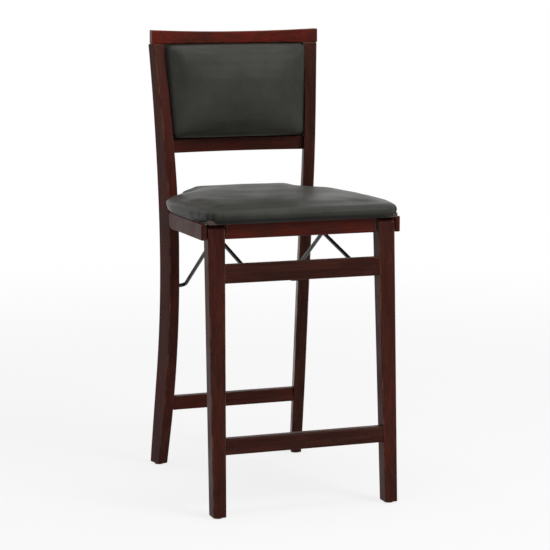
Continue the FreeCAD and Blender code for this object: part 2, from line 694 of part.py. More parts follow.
def braces():
    """Make the wire braces on both sides and the rivets at their knees."""
    rear = FreeCAD.Vector(0, cell("rear_link_y"), cell("rear_link_z"))
    knee = FreeCAD.Vector(0, -cell("knee_y"), cell("knee_z"))
    front = FreeCAD.Vector(0, -cell("front_link_y"), cell("front_link_z"))
    rivet_start = "front_link_x - eye_thick / 2"
    rivet_stop = "rear_link_x + eye_thick / 2"
    leg_inner = cell("leg_outer") - cell("leg_top_width")
    for word, side in SIDES:
        brace_link("rear_link_" + word, side, cell("rear_link_x"),
                   cell("post_bore_end") - cell("rivet_head"), rear, knee, -cell("eye_thick") / 2)
        brace_link("front_link_" + word, side, cell("front_link_x"),
                   leg_inner + cell("leg_entry"), front, knee, -cell("eye_thick") / 2)
        shank = rod("rivet_shank_" + word, "rivet_radius",
                    "%s - (%s) + 2 * rivet_head" % (rivet_stop, rivet_start),
                    outward(side, rivet_start + " - rivet_head", rivet_stop + " + rivet_head"),
                    "-knee_y", "knee_z", TURN_TO_X)
        heads = [rod("rivet_in_" + word, "rivet_head_radius", "rivet_head",
                     outward(side, rivet_start + " - rivet_head", rivet_start),
                     "-knee_y", "knee_z", TURN_TO_X),
                 rod("rivet_out_" + word, "rivet_head_radius", "rivet_head",
                     outward(side, rivet_stop, rivet_stop + " + rivet_head"),
                     "-knee_y", "knee_z", TURN_TO_X)]
        publish(join("rivet_" + word, [shank] + heads), "knee_rivet_" + word)


def check_and_write():
    """Check every object, then write each published sub-part to its own file."""
    doc.recompute()
    failed = [item.Name + " (" + item.getStatusString() + ")" for item in doc.Objects
              if "Invalid" in item.State or "Error" in item.State]
    if failed:
        raise RuntimeError("objects failed: " + ", ".join(failed))
    os.makedirs("parts", exist_ok=True)
    for item in published:
        if item.Shape.isNull() or not item.Shape.isValid():
            raise RuntimeError("bad shape: " + item.Label)
    for item in published:
        item.Shape.exportStep("parts/%s.step" % item.Label)
        bounds = item.Shape.BoundBox
        print("%-22s solids %d volume %9.0f  x %7.1f %7.1f  y %7.1f %7.1f  z %6.1f %6.1f" % (
            item.Label, len(item.Shape.Solids), item.Shape.Volume, bounds.XMin, bounds.XMax,
            bounds.YMin, bounds.YMax, bounds.ZMin, bounds.ZMax))


def build():
    """Build the whole stool."""
    fill_sheet()
    posts = []
    for word, side in SIDES:
        plate = hinge_plate(word, side)
        post = cut("post_cut_" + word, rear_post(word, side), [link_bore(word, side), plate])
        posts.append(publish(post, "rear_post_" + word))
    crest, rail = back_rails(posts)
    back_panel([crest, rail])
    back_pad()
    rear_stretcher(posts)
    hinge_pins()
    seat_board()
    seat_pad()
    for word, side in SIDES:
        side_apron(word, side)
        seat_bearer(word, side)
    front_apron()
    legs = [front_leg(word, side) for word, side in SIDES]
    leg_bolts()
    leg_washers()
    front_stretchers(legs)
    glides()
    braces()
    check_and_write()


build()
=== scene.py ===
"""Folding counter stool: its finishes, cushions, light and camera, laid over the stool's frame."""

from __future__ import annotations

import json
import logging
import math
from collections.abc import Callable, Iterable
from dataclasses import dataclass
from enum import Enum

import bmesh
import bpy
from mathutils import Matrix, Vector
from mathutils.bvhtree import BVHTree

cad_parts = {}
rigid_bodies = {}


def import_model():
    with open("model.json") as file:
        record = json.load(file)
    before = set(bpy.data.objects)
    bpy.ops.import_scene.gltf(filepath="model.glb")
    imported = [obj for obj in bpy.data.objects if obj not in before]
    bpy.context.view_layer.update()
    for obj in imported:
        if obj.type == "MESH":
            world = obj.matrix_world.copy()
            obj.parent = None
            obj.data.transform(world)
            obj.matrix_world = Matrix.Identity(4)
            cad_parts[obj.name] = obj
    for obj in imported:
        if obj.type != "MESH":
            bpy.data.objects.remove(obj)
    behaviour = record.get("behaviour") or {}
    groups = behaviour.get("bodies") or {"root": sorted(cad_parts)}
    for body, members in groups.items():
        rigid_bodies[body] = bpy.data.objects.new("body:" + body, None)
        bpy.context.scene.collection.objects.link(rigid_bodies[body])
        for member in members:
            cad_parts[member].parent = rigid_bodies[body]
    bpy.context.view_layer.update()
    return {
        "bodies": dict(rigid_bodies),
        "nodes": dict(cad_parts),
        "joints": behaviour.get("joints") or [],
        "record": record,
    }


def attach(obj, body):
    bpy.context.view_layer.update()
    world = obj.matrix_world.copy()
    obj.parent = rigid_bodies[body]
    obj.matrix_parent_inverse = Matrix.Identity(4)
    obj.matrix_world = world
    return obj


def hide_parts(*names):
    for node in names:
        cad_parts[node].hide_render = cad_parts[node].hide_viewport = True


LOG = logging.getLogger("counter_stool")
SCREEN_GAMMA = 2.2
Colour = tuple[float, float, float, float]
Point = tuple[float, float, float]
Zone = tuple[float, float]  # where a smooth rise starts and where it ends
EVEN: Point = (1.0, 1.0, 1.0)
WHITE: Colour = (1.0, 1.0, 1.0, 1.0)


class Grain(Enum):
    """The axis that a piece of timber's grain runs along."""

    ACROSS_WIDTH = 0
    FRONT_TO_BACK = 1
    UPRIGHT = 2

    def stretched(self, across: float, along: float) -> Point:
        """Gives a pattern's scale, tight across the grain and long with it.

        Args:
            across: The scale across the grain.
            along: The scale along it.

        Returns:
            The scale along x, y and z.
        """
        scale = [across, across, across]
        scale[self.value] = along
        return tuple(scale)


class Side(Enum):
    """Left and right, as the sign of x."""

    LEFT = -1
    RIGHT = 1


def shade(red: int, green: int, blue: int) -> Colour:
    """Turns a colour as a screen shows it into the linear one that a shader takes.

    Args:
        red: Red from 0 to 255.
        green: Green from 0 to 255.
        blue: Blue from 0 to 255.

    Returns:
        The linear colour with a full alpha.
    """
    return tuple((channel / 255) ** SCREEN_GAMMA for channel in (red, green, blue)) + (1.0,)


def grey(level: float) -> Colour:
    """Gives the linear grey of a level from 0 to 1."""
    return (level, level, level, 1.0)


def eased(value: float, low: float, high: float) -> float:
    """Rises smoothly from 0 at low to 1 at high.

    Args:
        value: The number to place.
        low: Where the rise starts.
        high: Where it ends.

    Returns:
        A number from 0 to 1.
    """
    part = min(1.0, max(0.0, (value - low) / (high - low)))
    return part * part * (3 - 2 * part)


class Shading:
    """A node tree under construction: nodes are added and linked by short calls."""

    def __init__(self, owner: bpy.types.Material | bpy.types.World) -> None:
        """Empties the node tree of a material or a world.

        Args:
            owner: The material or the world.
        """
        owner.use_nodes = True
        self.tree = owner.node_tree
        self.tree.nodes.clear()

    def add(self, kind: str, inputs: dict | None = None, **settings: object) -> bpy.types.Node:
        """Adds one node.

        Args:
            kind: The node type, without its ShaderNode prefix.
            inputs: Values or sockets for its inputs, by name or index.
            **settings: The node's own properties.

        Returns:
            The node.
        """
        node = self.tree.nodes.new("ShaderNode" + kind)
        for key, value in settings.items():
            setattr(node, key, value)
        for key, value in (inputs or {}).items():
            if isinstance(value, bpy.types.NodeSocket):
                self.tree.links.new(value, node.inputs[key])
            else:
                node.inputs[key].default_value = value
        return node

    def place(self, scale: Point, offset: Point = (0.0, 0.0, 0.0)) -> bpy.types.NodeSocket:
        """Gives the object's own coordinates, stretched and moved.

        Args:
            scale: The scale along x, y and z.
            offset: How far the pattern is moved.

        Returns:
            The vector's socket.
        """
        spot = self.add("TexCoord").outputs["Object"]
        return self.add("Mapping", {"Vector": spot, "Scale": scale, "Location": offset}).outputs[0]

    def noise(self, at: bpy.types.NodeSocket, scale: float, detail: float = 3.0,
              rough: float = 0.55, twist: float = 0.0) -> bpy.types.NodeSocket:
        """Adds a noise.

        Args:
            at: The vector that it reads.
            scale: Its scale.
            detail: Its detail.
            rough: The roughness of its detail.
            twist: Its distortion.

        Returns:
            The socket of its factor.
        """
        inputs = {"Vector": at, "Scale": scale, "Detail": detail, "Roughness": rough, "Distortion": twist}
        return self.add("TexNoise", inputs).outputs[0]

    def span(self, value: bpy.types.NodeSocket, low: float, high: float,
             start: float = 0.0, end: float = 1.0) -> bpy.types.NodeSocket:
        """Maps a value from low..high to start..end with soft ends.

        Args:
            value: The value to map.
            low: Where the source range starts.
            high: Where it ends.
            start: The result at low.
            end: The result at high.

        Returns:
            The socket of the result.
        """
        inputs = {"Value": value, "From Min": low, "From Max": high, "To Min": start, "To Max": end}
        return self.add("MapRange", inputs, interpolation_type="SMOOTHSTEP").outputs[0]

    def calc(self, kind: str, first: object, second: object) -> bpy.types.NodeSocket:
        """Adds a Math node.

        Args:
            kind: The operation, as Blender names it.
            first: The first value or socket.
            second: The second value or socket.

        Returns:
            The socket of the result.
        """
        return self.add("Math", {0: first, 1: second}, operation=kind).outputs[0]

    def mix(self, factor: object, first: object, second: object, blend: str = "MIX") -> bpy.types.NodeSocket:
        """Mixes two colours.

        Args:
            factor: How much of the second shows.
            first: The first colour or socket.
            second: The second colour or socket.
            blend: How they are mixed.

        Returns:
            The socket of the colour.
        """
        inputs = {0: factor, 6: first, 7: second}
        return self.add("Mix", inputs, data_type="RGBA", blend_type=blend).outputs[2]

    def relief(self, height: bpy.types.NodeSocket, depth: float, strength: float,
               under: bpy.types.NodeSocket | None = None) -> bpy.types.NodeSocket:
        """Adds a bump.

        Args:
            height: The height's socket.
            depth: How deep a full step is, in metres.
            strength: How strongly it shows.
            under: The normal of a bump that this one adds to.

        Returns:
            The socket of the normal.
        """
        inputs = {"Height": height, "Distance": depth, "Strength": strength}
        if under is not None:
            inputs["Normal"] = under
        return self.add("Bump", inputs).outputs[0]

    def seen(self) -> bpy.types.NodeSocket:
        """Gives 1 for what the camera, a reflection or glass sees, and 0 for light on the stool.

        Returns:
            The socket of the number.
        """
        path = self.add("LightPath").outputs
        shown = self.calc("MAXIMUM", path["Is Camera Ray"], path["Is Glossy Ray"])
        return self.calc("MAXIMUM", shown, path["Is Transmission Ray"])


class Finish(Shading):
    """A material under construction."""

    def __init__(self, name: str) -> None:
        """Starts an empty material.

        Args:
            name: The material's name.
        """
        self.material = bpy.data.materials.new(name)
        super().__init__(self.material)

    def surface(self, **inputs: object) -> bpy.types.Material:
        """Adds the shader, with its inputs' spaces written as underscores, and closes the material.

        Args:
            **inputs: Values or sockets of the shader.

        Returns:
            The material.
        """
        named = {key.replace("_", " "): value for key, value in inputs.items()}
        shader = self.add("BsdfPrincipled", named)
        self.add("OutputMaterial", {"Surface": shader.outputs[0]})
        return self.material


@dataclass(frozen=True)
class LacqueredWood:
    """Espresso-stained hardwood under a satin lacquer, redder where the stain is thin, with its rounded
    edges painted lighter: partly rubbed wear, partly a painted highlight.
    """

    dark: Colour = shade(46, 27, 23)
    brown: Colour = shade(66, 40, 33)
    cherry: Colour = shade(108, 36, 25)
    edge_wear_and_highlight: Colour = shade(128, 88, 68)
    pore: Colour = shade(18, 11, 10)
    gloss_roughness: float = 0.34
    specular: float = 0.06
    wear_and_highlight_share: float = 0.4
    seed_step: Point = (1.7, 2.3, 0.9)

    def material(self, piece: str, grain: Grain, seed: float, redness: float) -> bpy.types.Material:
        """Makes the wood for one piece, cut from its own part of the board.

        Args:
            piece: The piece that it is for.
            grain: The way that its grain runs.
            seed: Moves the figure, so that no two pieces match.
            redness: How much of the cherry wood shows through the stain, from 0 to 1.

        Returns:
            The material.
        """
        made = Finish("wood_" + piece)
        offset = tuple(step * seed for step in self.seed_step)
        even_at = made.place(EVEN, offset)
        figure = made.noise(made.place(grain.stretched(across=70.0, along=5.0), offset), scale=1.0,
                            detail=4.0, rough=0.6, twist=0.7)
        streak = made.noise(made.place(grain.stretched(across=620.0, along=16.0), offset), scale=1.0,
                            detail=3.0, rough=0.5)
        pore = made.noise(made.place(grain.stretched(across=1500.0, along=75.0), offset), scale=1.0,
                          detail=2.0, rough=0.5)
        cloud = made.noise(even_at, scale=8.0, detail=3.0, rough=0.6, twist=0.4)
        stain = made.mix(made.span(figure, low=0.32, high=0.68), self.dark, self.brown)
        thin = made.calc("MULTIPLY", made.span(cloud, low=0.3, high=0.66, start=0.25, end=1.0),
                         made.span(streak, low=0.3, high=0.75, start=0.7, end=1.0))
        body = made.mix(made.calc("MULTIPLY", thin, redness), stain, self.cherry)
        lined = made.mix(made.span(streak, low=0.35, high=0.62, start=0.55, end=0.0), body, self.dark)
        pored = made.mix(made.span(pore, low=0.6, high=0.72, start=0.0, end=0.6), lined, self.pore)
        # Rounded edges are painted lighter: partly rubbed wear, partly a painted highlight of the lamps
        # along the edge.
        rounded_edge = made.add("Attribute", attribute_name="rounded_edge").outputs["Fac"]
        patch = made.span(made.noise(even_at, scale=26.0, detail=5.0, rough=0.62), low=0.42, high=0.7)
        edge_rub_and_highlight = made.calc("MULTIPLY", rounded_edge, made.calc("MULTIPLY", patch, self.wear_and_highlight_share))
        colour = made.mix(edge_rub_and_highlight, pored, self.edge_wear_and_highlight)
        smear = made.span(made.noise(even_at, scale=18.0, detail=4.0, rough=0.6),
                          low=0.3, high=0.7, start=-0.05, end=0.09)
        gloss = made.calc("ADD", smear, self.gloss_roughness)
        ripple = made.relief(figure, depth=0.0004, strength=0.12)
        normal = made.relief(pore, depth=0.00012, strength=0.35, under=ripple)
        return made.surface(Base_Color=colour, Roughness=gloss, Normal=normal,
                            Specular_IOR_Level=self.specular)


@dataclass(frozen=True)
class Vinyl:
    """Soft charcoal upholstery vinyl with a fine pebbled grain, with painted shade in the hollows between
    the pebbles, in the pleat grooves and along the tucked underside.
    """

    face: Colour = shade(58, 58, 54)
    tone: Colour = shade(47, 47, 43)
    shade_tone: Colour = shade(20, 20, 19)
    pebble_scale: float = 620.0
    pebble_bend: float = 0.004
    roughness: float = 0.4
    specular: float = 0.14
    hollow_shade_share: float = 0.35
    fold_shade_share: float = 0.85

    def material(self, piece: str) -> bpy.types.Material:
        """Makes the vinyl of one cushion.

        Args:
            piece: The piece that it is for.

        Returns:
            The material.
        """
        made = Finish("vinyl_" + piece)
        at = made.place(EVEN)
        warp = made.mix(1.0, made.noise(at, scale=240.0, detail=2.0), grey(self.pebble_bend), "MULTIPLY")
        bent = made.add("VectorMath", {0: at, 1: warp}, operation="ADD").outputs[0]
        cell = made.add("TexVoronoi", {"Vector": bent, "Scale": self.pebble_scale},
                        feature="DISTANCE_TO_EDGE")
        pebble = made.span(cell.outputs["Distance"], low=0.0, high=0.16)
        fine = made.noise(at, scale=2600.0, detail=2.0)
        cloud = made.noise(at, scale=11.0, detail=4.0, rough=0.6)
        # Painted shade: the pleat grooves and the tucked underside along the board are darkened.
        fold_shade = made.add("Attribute", attribute_name="fold_shade").outputs["Fac"]
        tinted = made.mix(made.span(cloud, low=0.3, high=0.7), self.tone, self.face)
        # Painted shade: the hollows between the pebbles are darkened towards the shade tone.
        hollows_shaded = made.calc("MULTIPLY", made.calc("SUBTRACT", 1.0, pebble), self.hollow_shade_share)
        pebbled_with_shade = made.mix(hollows_shaded, tinted, self.shade_tone)
        colour = made.mix(made.calc("MULTIPLY", fold_shade, self.fold_shade_share), pebbled_with_shade, self.shade_tone)
        gloss = made.calc("ADD", made.span(cloud, low=0.25, high=0.75, start=0.07, end=-0.05),
                          self.roughness)
        soft = made.relief(made.noise(at, scale=16.0, detail=2.0), depth=0.004, strength=0.14)
        pebbled = made.relief(pebble, depth=0.00018, strength=0.4, under=soft)
        normal = made.relief(fine, depth=0.00005, strength=0.3, under=pebbled)
        return made.surface(Base_Color=colour, Roughness=gloss, Normal=normal,
                            Specular_IOR_Level=self.specular)


@dataclass(frozen=True)
class BlackSteel:
    """Steel rod and plate under a thin black coating."""

    coat: Colour = shade(24, 24, 25)
    dusty: Colour = shade(46, 44, 42)
    bare: Colour = shade(122, 118, 112)
    roughness: float = 0.36
    metallic: float = 0.25
    chip_share: float = 0.55

    def material(self, piece: str) -> bpy.types.Material:
        """Makes the steel of one group of pieces.

        Args:
            piece: The pieces that it is for.

        Returns:
            The material.
        """
        made = Finish("steel_" + piece)
        at = made.place(EVEN)
        dust = made.noise(at, scale=60.0, detail=4.0, rough=0.65)
        chip = made.span(made.noise(at, scale=320.0, detail=3.0, rough=0.6), low=0.68, high=0.72)
        coated = made.mix(made.span(dust, low=0.45, high=0.7, start=0.0, end=0.6), self.coat, self.dusty)
        colour = made.mix(made.calc("MULTIPLY", chip, self.chip_share), coated, self.bare)
        gloss = made.calc("ADD", made.span(dust, low=0.3, high=0.7, start=-0.06, end=0.12), self.roughness)
        normal = made.relief(made.noise(at, scale=900.0, detail=2.0), depth=0.00008, strength=0.3)
        return made.surface(Base_Color=colour, Roughness=gloss, Metallic=self.metallic, Normal=normal)


@dataclass(frozen=True)
class StainedBoard:
    """Thin plywood, stained dark, with its layers showing on the edge."""

    face: Colour = shade(58, 41, 33)
    dark: Colour = shade(37, 25, 21)
    layer: Colour = shade(92, 68, 50)
    layer_pitch: float = 0.0018
    layer_share: float = 0.6
    roughness: float = 0.6

    def material(self, piece: str, thin: Grain, grain: Grain) -> bpy.types.Material:
        """Makes the board of one piece.

        Args:
            piece: The piece that it is for.
            thin: The axis that the layers are stacked along.
            grain: The way that the face's grain runs.

        Returns:
            The material.
        """
        made = Finish("board_" + piece)
        figure = made.noise(made.place(grain.stretched(across=110.0, along=4.0)), scale=1.0,
                            detail=4.0, rough=0.6, twist=0.8)
        fibre = made.noise(made.place(grain.stretched(across=1400.0, along=30.0)), scale=1.0, detail=2.0)
        stack = made.place(thin.stretched(across=0.0, along=math.pi / self.layer_pitch))
        split = made.add("SeparateXYZ", {0: stack}).outputs[thin.value]
        band = made.span(made.calc("SINE", split, 0.0), low=-0.2, high=0.2)
        edge = made.add("Attribute", attribute_name="rounded_edge").outputs["Fac"]
        face = made.mix(made.span(figure, low=0.3, high=0.7), self.dark, self.face)
        layers = made.calc("MULTIPLY", made.calc("MULTIPLY", band, edge), self.layer_share)
        layered = made.mix(layers, face, self.layer)
        colour = made.mix(made.span(fibre, low=0.4, high=0.7, start=0.0, end=0.4), layered, self.dark)
        normal = made.relief(fibre, depth=0.00015, strength=0.3)
        return made.surface(Base_Color=colour, Roughness=self.roughness, Normal=normal)


@dataclass(frozen=True)
class GlidePlastic:
    """Dark nylon of the floor glides, scuffed underneath."""

    body: Colour = shade(42, 39, 37)
    scuff: Colour = shade(96, 90, 84)
    roughness: float = 0.55

    def material(self, piece: str) -> bpy.types.Material:
        """Makes the nylon of one group of glides.

        Args:
            piece: The pieces that it is for.

        Returns:
            The material.
        """
        made = Finish("glide_" + piece)
        scratches = made.place(Grain.ACROSS_WIDTH.stretched(across=120.0, along=900.0))
        mark = made.noise(scratches, scale=1.0, detail=3.0)
        colour = made.mix(made.span(mark, low=0.5, high=0.75, start=0.0, end=0.6), self.body, self.scuff)
        pitted = made.noise(made.place(EVEN), scale=1200.0, detail=2.0)
        normal = made.relief(pitted, depth=0.00008, strength=0.4)
        return made.surface(Base_Color=colour, Roughness=self.roughness, Normal=normal)


@dataclass(frozen=True)
class Timber:
    """One rigid wooden piece: its node, how its wood is cut and how its edges are rounded."""

    node: str
    grain: Grain
    seed: float
    redness: float
    rounding: float
    shortest: float = 0.0


class Workshop:
    """Holds the loaded frame and makes the dressed pieces that take its nodes' places."""

    weld = 2e-5
    flat_angle = math.radians(0.8)
    sharp_angle = math.radians(28)
    shading_angle = math.radians(40)
    rounding_steps = 3

    def __init__(self, frame: dict) -> None:
        """Keeps the frame and reads which finish each node has.

        Args:
            frame: What the frame's load gives.
        """
        self.nodes = frame["nodes"]
        self.slots = {part["node"]: part["material_slot"] for part in frame["record"]["subparts"]}

    def merged(self, node: str) -> bmesh.types.BMesh:
        """Copies a node's mesh, with its loose triangles joined into whole faces.

        Args:
            node: The node's name.

        Returns:
            The copy.
        """
        form = bmesh.new()
        form.from_mesh(self.nodes[node].data)
        bmesh.ops.remove_doubles(form, verts=form.verts, dist=self.weld)
        bmesh.ops.dissolve_limit(form, angle_limit=self.flat_angle, verts=form.verts, edges=form.edges,
                                 delimit=set())
        return form

    def publish(self, form: bmesh.types.BMesh, name: str, material: bpy.types.Material) -> bpy.types.Object:
        """Makes an object of a finished mesh.

        Args:
            form: The mesh, which is freed.
            name: The object's name.
            material: Its material.

        Returns:
            The object.
        """
        mesh = bpy.data.meshes.new(name)
        form.to_mesh(mesh)
        form.free()
        mesh.materials.append(material)
        mesh.shade_smooth()
        made = bpy.data.objects.new(name, mesh)
        bpy.context.scene.collection.objects.link(made)
        return made

    def seat_on(self, made: bpy.types.Object, body: str, node: str) -> bpy.types.Object:
        """Lets a piece ride on a body in place of one node.

        Args:
            made: The piece.
            body: The body that carries it.
            node: The node that it stands for.

        Returns:
            The piece.
        """
        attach(made, body)
        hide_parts(node)
        LOG.info("%s: %d faces on %s", made.name, len(made.data.polygons), body)
        return made

    def eased_edges(self, node: str, body: str, radius: float, material: bpy.types.Material,
                    shortest: float = 0.0,
                    shape: Callable[[bmesh.types.BMesh], None] | None = None) -> bpy.types.Object:
        """Copies a rigid node with its sharp edges rounded over.

        Args:
            node: The node to copy.
            body: The body that carries it.
            radius: How far the rounding reaches from the edge, in metres.
            material: The piece's material.
            shortest: Edges shorter than this stay sharp, in metres.
            shape: Changes the copy before its edges are rounded.

        Returns:
            The piece.
        """
        form = self.merged(node)
        if shape is not None:
            shape(form)
        sharp = [edge for edge in form.edges if edge.is_manifold and edge.calc_length() > shortest
                 and edge.calc_face_angle(0.0) > self.sharp_angle]
        # The rounded faces are marked: the wood paints them lighter, partly as wear and partly as a painted
        # highlight, and the board shows its layers there.
        rounded_edge = form.faces.layers.float.new("rounded_edge")
        rounded = bmesh.ops.bevel(form, geom=sharp, offset=radius, offset_type="OFFSET", affect="EDGES",
                                  segments=self.rounding_steps, profile=0.5, clamp_overlap=False,
                                  material=-1, loop_slide=True)
        for face in rounded["faces"]:
            face[rounded_edge] = 1.0
        made = self.publish(form, node + "_dressed", material)
        made.data.set_sharp_from_angle(angle=self.shading_angle)
        weighted = made.modifiers.new("even_shading", "WEIGHTED_NORMAL")
        weighted.keep_sharp = True
        return self.seat_on(made, body, node)

    def dress_timber(self, body: str, wood: LacqueredWood, *pieces: Timber) -> None:
        """Rounds and finishes wooden pieces of one body.

        Args:
            body: The body that carries them.
            wood: Their finish.
            *pieces: The pieces.
        """
        for piece in pieces:
            material = wood.material(piece.node, piece.grain, piece.seed, piece.redness)
            self.eased_edges(piece.node, body, piece.rounding, material, piece.shortest)

    def finish_nodes(self, material: bpy.types.Material, *names: str) -> None:
        """Gives nodes that keep their own shape a finish.

        Args:
            material: The finish.
            *names: The nodes.
        """
        for name in names:
            for slot in self.nodes[name].material_slots:
                slot.material = material
            LOG.info("%s: keeps its own form", name)


@dataclass(frozen=True)
class Pleat:
    """One fold of the vinyl at a wrapped corner: a groove between two ridges, seen in plan."""

    x: float
    y: float
    turn: float
    start: float = 0.012
    reach: float = 0.012
    groove_width: float = 0.0021
    groove_depth: float = 0.0014
    ridge_aside: float = 0.0055
    ridge_width: float = 0.0026
    ridge_height: float = 0.0005
    fade: Zone = (0.594, 0.609)

    def profile(self, at: Vector) -> tuple[float, float]:
        """Tells how far into the groove, and how far up a ridge beside it, a point lies.

        Args:
            at: The point.

        Returns:
            The shares of the groove and of the ridge, each from 0 to 1.
        """
        away = Vector((at.x - self.x, at.y - self.y))
        along = Vector((math.cos(self.turn), math.sin(self.turn)))
        aside = away.x * along.y - away.y * along.x
        if away.dot(along) < self.start or abs(aside) > self.reach:
            return 0.0, 0.0
        low = 1 - eased(at.z, *self.fade)
        groove = low * math.exp(-((aside / self.groove_width) ** 2))
        ridge = low * math.exp(-(((abs(aside) - self.ridge_aside) / self.ridge_width) ** 2))
        return groove, ridge


@dataclass
class Cushion:
    """A stuffed, vinyl-wrapped pad that is blown up by a cloth simulation from its node's form."""

    shop: Workshop
    node: str
    body: str
    voxel: float
    held: Callable[[Vector], float]
    crown_axis: Grain
    crown: Callable[[Vector], bool]
    shape: Callable[[bmesh.types.BMesh], None]
    mould: Callable[[Vector], Vector] = Vector
    shrink: float = 0.0012
    cap: float = 0.004
    slack: float = 0.0007
    proud: float = 0.003
    pressure: float = 4.0
    frames: int = 20
    fill: float = 0.8
    crown_passes: int = 24
    skin_passes: int = 3
    pleats: tuple[Pleat, ...] = ()
    ceiling: Callable[[Vector], float] = lambda at: math.inf
    # How much painted shade falls on the tucked underside at a point.
    tuck_shade: Callable[[Vector], float] = lambda at: 0.0

    def build(self, finish: Vinyl) -> bpy.types.Object:
        """Makes the cushion and puts it on its body.

        Args:
            finish: The vinyl that covers it.

        Returns:
            The cushion.
        """
        made, guide = self.blank()
        self.swell(made)
        self.smooth(made, guide)
        self.refine(made)
        self.pleat(made)
        for vertex in made.data.vertices:
            vertex.co.z = min(vertex.co.z, self.ceiling(vertex.co))
        made.data.materials.clear()
        made.data.materials.append(finish.material(self.node))
        made.data.shade_smooth()
        self.shop.seat_on(made, self.body, self.node)
        return made

    def blank(self) -> tuple[bpy.types.Object, BVHTree]:
        """Cuts the evenly meshed blank, a little smaller than the finished cushion.

        Returns:
            The blank, and the outer form that guides it.
        """
        form = self.shop.merged(self.node)
        self.shape(form)
        bmesh.ops.triangulate(form, faces=form.faces)
        made = self.shop.publish(form, self.node + "_cushion", bpy.data.materials.new("blank"))
        remesh = made.modifiers.new("even", "REMESH")
        remesh.mode = "VOXEL"
        remesh.voxel_size = self.voxel
        self.apply(made)
        for vertex in made.data.vertices:
            vertex.co = self.mould(vertex.co.copy())
        form = bmesh.new()
        form.from_mesh(made.data)
        guide = BVHTree.FromBMesh(form)
        form.free()
        starts = [vertex.co.copy() for vertex in made.data.vertices]
        normals = [vertex.normal.copy() for vertex in made.data.vertices]
        for vertex, start, normal in zip(made.data.vertices, starts, normals):
            vertex.co = start - normal * self.shrink * (1 - self.held(start))
        return made, guide

    def swell(self, made: bpy.types.Object) -> None:
        """Blows the blank up and caps how far each point moves.

        Args:
            made: The blank, changed in place.
        """
        starts = [vertex.co.copy() for vertex in made.data.vertices]
        pins = made.vertex_groups.new(name="stapled")
        for vertex in made.data.vertices:
            pins.add([vertex.index], self.held(vertex.co), "REPLACE")
        cloth = made.modifiers.new("swell", "CLOTH")
        cloth.settings.quality = 6
        cloth.settings.mass = 0.25
        cloth.settings.use_pressure = True
        cloth.settings.uniform_pressure_force = self.pressure
        cloth.settings.effector_weights.gravity = 0.0
        cloth.settings.vertex_group_mass = "stapled"
        cloth.settings.bending_stiffness = 2.0
        cloth.point_cache.frame_start = 1
        cloth.point_cache.frame_end = self.frames
        scene = bpy.context.scene
        for frame in range(1, self.frames + 1):
            scene.frame_set(frame)
        blown = made.evaluated_get(bpy.context.evaluated_depsgraph_get()).to_mesh()
        ends = [vertex.co.copy() for vertex in blown.vertices]
        made.modifiers.clear()
        for vertex, start, end in zip(made.data.vertices, starts, ends):
            move = (end - start) * (1 - self.held(start))
            reach = move.length
            vertex.co = start + (move * (self.cap / reach) if reach > self.cap else move)
        scene.frame_set(1)
        LOG.info("%s: blown up over %d frames", made.name, self.frames)

    def smooth(self, made: bpy.types.Object, guide: BVHTree) -> None:
        """Evens out the crown, relaxes the sides and keeps the skin near its guiding form.

        Args:
            made: The cushion, changed in place.
            guide: The outer form.
        """
        form = bmesh.new()
        form.from_mesh(made.data)
        crown = [vertex for vertex in form.verts if self.crown(vertex.co)]
        axes = {"use_axis_" + letter: number == self.crown_axis.value for number, letter in enumerate("xyz")}
        for _ in range(self.crown_passes):
            bmesh.ops.smooth_vert(form, verts=crown, factor=0.5, **axes)
        free = [vertex for vertex in form.verts if self.held(vertex.co) < 0.5]
        every_way = dict.fromkeys(axes, True)
        for _ in range(self.skin_passes):
            bmesh.ops.smooth_vert(form, verts=free, factor=0.5, **every_way)
            self.keep_near(free, guide)
        bmesh.ops.smooth_vert(form, verts=free, factor=0.5, **every_way)
        form.to_mesh(made.data)
        form.free()

    def keep_near(self, verts: Iterable[bmesh.types.BMVert], guide: BVHTree) -> None:
        """Moves points that are too deep inside the guiding form, or too far out of it, towards it.

        Args:
            verts: The points.
            guide: The outer form.
        """
        for vertex in verts:
            spot, normal, _, _ = guide.find_nearest(vertex.co)
            out = (vertex.co - spot).dot(normal)
            if out < -self.slack:
                vertex.co += normal * (-self.slack - out)
            elif out > self.proud:
                vertex.co += normal * (self.proud - out)

    def refine(self, made: bpy.types.Object) -> None:
        """Adds one subdivision.

        Args:
            made: The cushion, changed in place.
        """
        finer = made.modifiers.new("finer", "SUBSURF")
        finer.levels = 1
        finer.render_levels = 1
        self.apply(made)

    def pleat(self, made: bpy.types.Object) -> None:
        """Presses the folds of the wrapped corners into the sides, and stores the painted shade of their
        grooves and of the tucked underside.

        Args:
            made: The cushion, changed in place.
        """
        # Painted shade: each point keeps how dark its pleat groove or the tucked underside is painted.
        fold_shade_values = made.data.attributes.new("fold_shade", "FLOAT", "POINT").data
        normals = [vertex.normal.copy() for vertex in made.data.vertices]
        for vertex, normal, fold_shade in zip(made.data.vertices, normals, fold_shade_values):
            fold_shade.value = self.tuck_shade(vertex.co)
            for fold in self.pleats:
                groove, ridge = fold.profile(vertex.co)
                vertex.co += normal * (fold.ridge_height * ridge - fold.groove_depth * groove)
                fold_shade.value = max(fold_shade.value, groove)

    @staticmethod
    def apply(made: bpy.types.Object) -> None:
        """Replaces an object's mesh by what its modifiers make of it.

        Args:
            made: The object.
        """
        shown = made.evaluated_get(bpy.context.evaluated_depsgraph_get())
        mesh = bpy.data.meshes.new_from_object(shown)
        made.modifiers.clear()
        made.data = mesh


